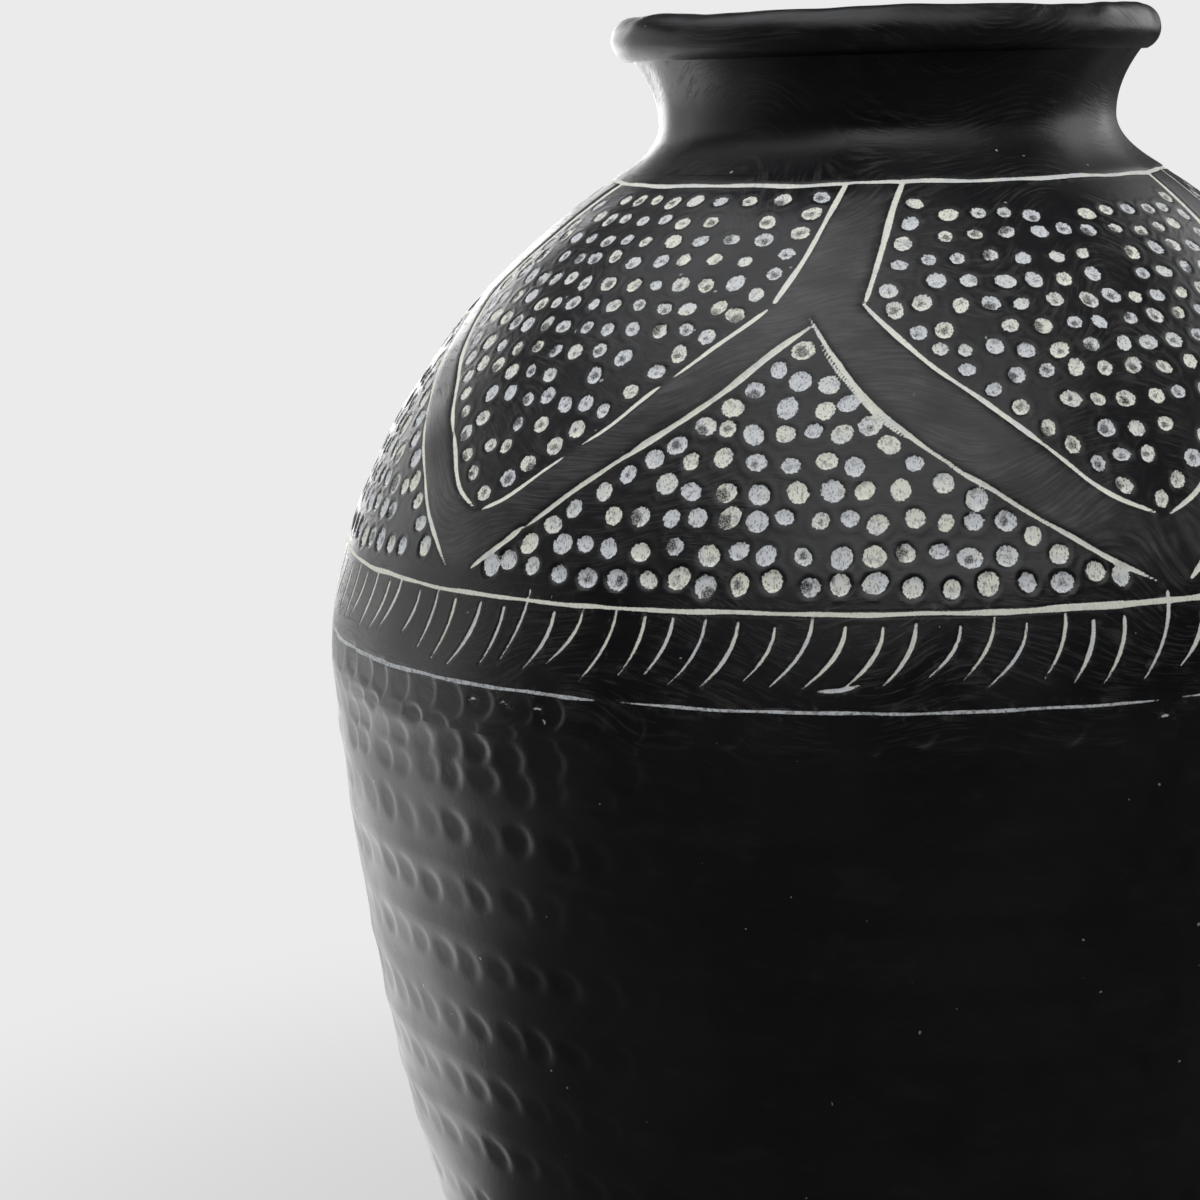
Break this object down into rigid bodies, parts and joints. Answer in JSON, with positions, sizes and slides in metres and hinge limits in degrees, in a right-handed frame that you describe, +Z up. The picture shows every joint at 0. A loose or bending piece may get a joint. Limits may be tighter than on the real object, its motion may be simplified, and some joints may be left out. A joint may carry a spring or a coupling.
{
  "type": "black clay pot",
  "caption": "Hand-built black clay jar with a wide belly, a short flared neck and a rolled rim, cut with pale-filled lines and punched dots; it stands on a flat base.",
  "frame": {"origin": "middle of the circle that the jar stands on, on the table's surface", "axes": "+Z up along the jar's axis, from the base to the mouth; the jar is round, so X and Y are any two level directions, and -Y faces the viewer"},
  "size_m": [0.28, 0.28, 0.3287],
  "materials": {
    "black_clay": "reduction-fired black clay, burnished to a satin sheen, with pale clay rubbed into its cut lines and punched dots",
    "pale_clay": "matt, chalky pale clay rubbed into a cut line"
  },
  "bodies": {
    "root": {"base_slab": "black_clay", "wall_ring_1": "black_clay", "wall_ring_2": "black_clay", "wall_ring_3": "black_clay", "wall_ring_4": "black_clay", "wall_ring_5": "black_clay", "wall_ring_6": "black_clay", "wall_ring_7": "black_clay", "wall_ring_8": "black_clay", "wall_ring_9": "black_clay", "wall_ring_10": "black_clay", "belly_ring": "black_clay", "band_ring": "black_clay", "shoulder_ring_1": "black_clay", "shoulder_ring_2": "black_clay", "shoulder_ring_3": "black_clay", "shoulder_ring_4": "black_clay", "neck_collar": "black_clay", "rim_coil": "black_clay", "lower_line_fill": "pale_clay", "upper_line_fill": "pale_clay"}
  },
  "joints": []
}
